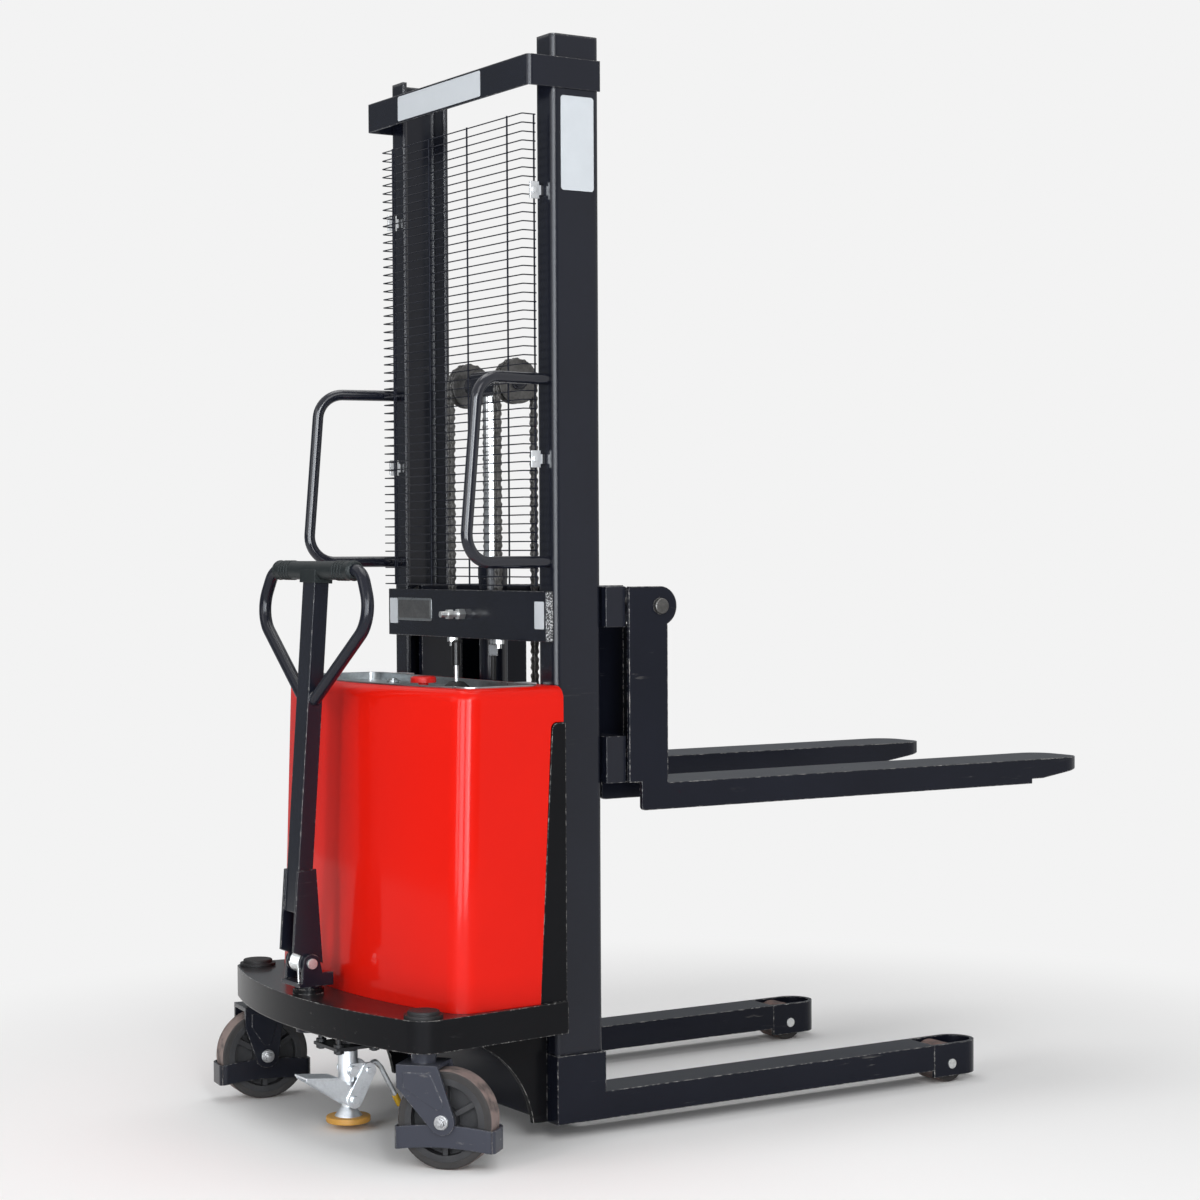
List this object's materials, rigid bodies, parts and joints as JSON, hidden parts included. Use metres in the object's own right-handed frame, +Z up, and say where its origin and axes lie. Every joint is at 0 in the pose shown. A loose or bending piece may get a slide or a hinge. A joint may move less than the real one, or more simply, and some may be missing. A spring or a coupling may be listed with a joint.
{
  "type": "semi-electric stacker",
  "caption": "Hand-towed pallet stacker with a twin-post mast, chain-lifted forks, red power unit cover, wire guard, tiller, castors and floor brake.",
  "frame": {"origin": "on the floor, in the middle of the width, under the rear faces of the mast posts", "axes": "+X to the truck's right, +Y towards the fork tips, +Z up"},
  "size_m": [0.8813, 1.7265, 2.08],
  "materials": {
    "black_paint": "semi-gloss blue-black enamel",
    "red_paint": "glossy red enamel",
    "zinc_steel": "zinc plated",
    "chrome_rod": "polished hard chrome",
    "oiled_steel": "oiled dark steel",
    "wheel_nylon": "moulded nylon",
    "wheel_tread": "worn polyurethane",
    "amber_pad": "amber polyurethane",
    "black_rubber": "matt rubber",
    "black_plastic": "moulded plastic",
    "grey_plastic": "fine grained plastic",
    "battery_case": "moulded polypropylene",
    "motor_case": "satin black paint",
    "red_plastic": "glossy moulded plastic"
  },
  "bodies": {
    "chassis": {"battery": "battery_case", "beam_bolts": "zinc_steel", "brake_housing": "zinc_steel", "castor_caps": "black_rubber", "console_instruments": "black_plastic", "console_panel": "grey_plastic", "cylinder_gland": "black_paint", "deck": "black_paint", "grab_handles": "black_paint", "leg_left": "black_paint", "leg_right": "black_paint", "lever_boot": "black_rubber", "lift_cylinder": "black_paint", "load_roller_axles": "zinc_steel", "mast_base": "black_paint", "mast_post_left": "black_paint", "mast_post_right": "black_paint", "mid_beam": "black_paint", "oil_tank": "grey_plastic", "power_cover": "red_paint", "pressure_hose": "black_rubber", "pump_motor": "motor_case", "return_hose": "black_rubber", "roller_straps": "black_paint", "side_plates": "black_paint", "steel_clips": "zinc_steel", "top_strap": "black_paint", "wire_guard": "black_paint"},
    "crosshead": {"lift_rod": "chrome_rod", "crosshead": "black_paint", "lift_chains": "oiled_steel"},
    "pulleys": {"chain_pulleys": "oiled_steel"},
    "carriage": {"carriage_frame": "black_paint", "fork_left": "black_paint", "fork_right": "black_paint", "fork_shaft": "oiled_steel", "chain_anchors_front": "zinc_steel"},
    "upper_rollers": {"guide_rollers_upper": "oiled_steel"},
    "lower_rollers": {"guide_rollers_lower": "oiled_steel"},
    "castor_left": {"castor_yoke_left": "black_paint", "castor_axle_left": "zinc_steel"},
    "castor_wheel_left": {"castor_hub_left": "wheel_nylon", "castor_tyre_left": "wheel_tread"},
    "load_roller_left": {"load_roller_left": "wheel_tread"},
    "castor_right": {"castor_yoke_right": "black_paint", "castor_axle_right": "zinc_steel"},
    "castor_wheel_right": {"castor_hub_right": "wheel_nylon", "castor_tyre_right": "wheel_tread"},
    "load_roller_right": {"load_roller_right": "wheel_tread"},
    "turret": {"turret_bracket": "black_paint", "tiller_pin": "zinc_steel", "tiller_spring": "zinc_steel"},
    "tiller": {"tiller_tube": "black_paint", "tiller_grip": "black_rubber"},
    "pedal": {"brake_pedal": "zinc_steel"},
    "brake_foot": {"brake_plunger": "zinc_steel", "brake_pad": "amber_pad"},
    "lever": {"lift_lever": "zinc_steel", "lever_knob": "black_plastic"},
    "stop_button": {"emergency_button": "red_plastic"}
  },
  "joints": [
    {"name": "lift", "type": "slide", "parent": "chassis", "child": "crosshead", "axis": [0, 0, 1], "range_m": [-0.285, 0.466], "deforming": ["lift_chains"]},
    {"name": "carriage_lift", "type": "slide", "parent": "crosshead", "child": "carriage", "axis": [0, 0, 1], "range_m": [-0.285, 0.466]},
    {"name": "pulley_turn", "type": "hinge", "parent": "crosshead", "child": "pulleys", "pos_m": [0, 0.052, 1.446], "axis": [1, 0, 0], "continuous": true},
    {"name": "upper_rollers_turn", "type": "hinge", "parent": "carriage", "child": "upper_rollers", "pos_m": [0, 0.052, 1], "axis": [1, 0, 0], "continuous": true},
    {"name": "lower_rollers_turn", "type": "hinge", "parent": "carriage", "child": "lower_rollers", "pos_m": [0, 0.052, 0.79], "axis": [1, 0, 0], "continuous": true},
    {"name": "castor_left_swivel", "type": "hinge", "parent": "chassis", "child": "castor_left", "pos_m": [-0.356, -0.303, 0.2], "axis": [0, 0, 1], "continuous": true},
    {"name": "castor_left_roll", "type": "hinge", "parent": "castor_left", "child": "castor_wheel_left", "pos_m": [-0.35503, -0.29607, 0.09], "axis": [0.9903, -0.1392, 0], "continuous": true},
    {"name": "load_roller_left_roll", "type": "hinge", "parent": "chassis", "child": "load_roller_left", "pos_m": [-0.283, 0.962, 0.04], "axis": [1, 0, 0], "continuous": true},
    {"name": "castor_right_swivel", "type": "hinge", "parent": "chassis", "child": "castor_right", "pos_m": [0.356, -0.303, 0.2], "axis": [0, 0, 1], "continuous": true},
    {"name": "castor_right_roll", "type": "hinge", "parent": "castor_right", "child": "castor_wheel_right", "pos_m": [0.39093, -0.27155, 0.09], "axis": [0.6691, -0.7431, 0], "continuous": true},
    {"name": "load_roller_right_roll", "type": "hinge", "parent": "chassis", "child": "load_roller_right", "pos_m": [0.283, 0.962, 0.04], "axis": [1, 0, 0], "continuous": true},
    {"name": "tiller_swivel", "type": "hinge", "parent": "chassis", "child": "turret", "pos_m": [0, -0.361, 0.285], "axis": [0, 0, 1], "range_deg": [-70, 70]},
    {"name": "tiller_tilt", "type": "hinge", "parent": "turret", "child": "tiller", "pos_m": [0, -0.372, 0.332], "axis": [1, 0, 0], "range_deg": [0, 70]},
    {"name": "brake_pedal_press", "type": "hinge", "parent": "chassis", "child": "pedal", "pos_m": [0, -0.278, 0.115], "axis": [1, 0, 0], "range_deg": [0, 28]},
    {"name": "brake_foot_drop", "type": "slide", "parent": "chassis", "child": "brake_foot", "axis": [0, 0, 1], "range_m": [-0.0115, 0]},
    {"name": "lift_lever_tilt", "type": "hinge", "parent": "chassis", "child": "lever", "pos_m": [0.1, -0.088, 0.8485], "axis": [1, 0, 0], "range_deg": [-18, 18]},
    {"name": "stop_button_press", "type": "slide", "parent": "chassis", "child": "stop_button", "axis": [0, 0, 1], "range_m": [-0.007, 0]}
  ],
  "couplings": [
    {"joint": "carriage_lift", "follows": "lift", "ratio": 1},
    {"joint": "pulley_turn", "follows": "lift", "rad_per_m": 24.39},
    {"joint": "upper_rollers_turn", "follows": "lift", "rad_per_m": -47.619},
    {"joint": "lower_rollers_turn", "follows": "lift", "rad_per_m": 47.619},
    {"joint": "brake_foot_drop", "follows": "brake_pedal_press", "m_per_rad": -0.023532}
  ]
}
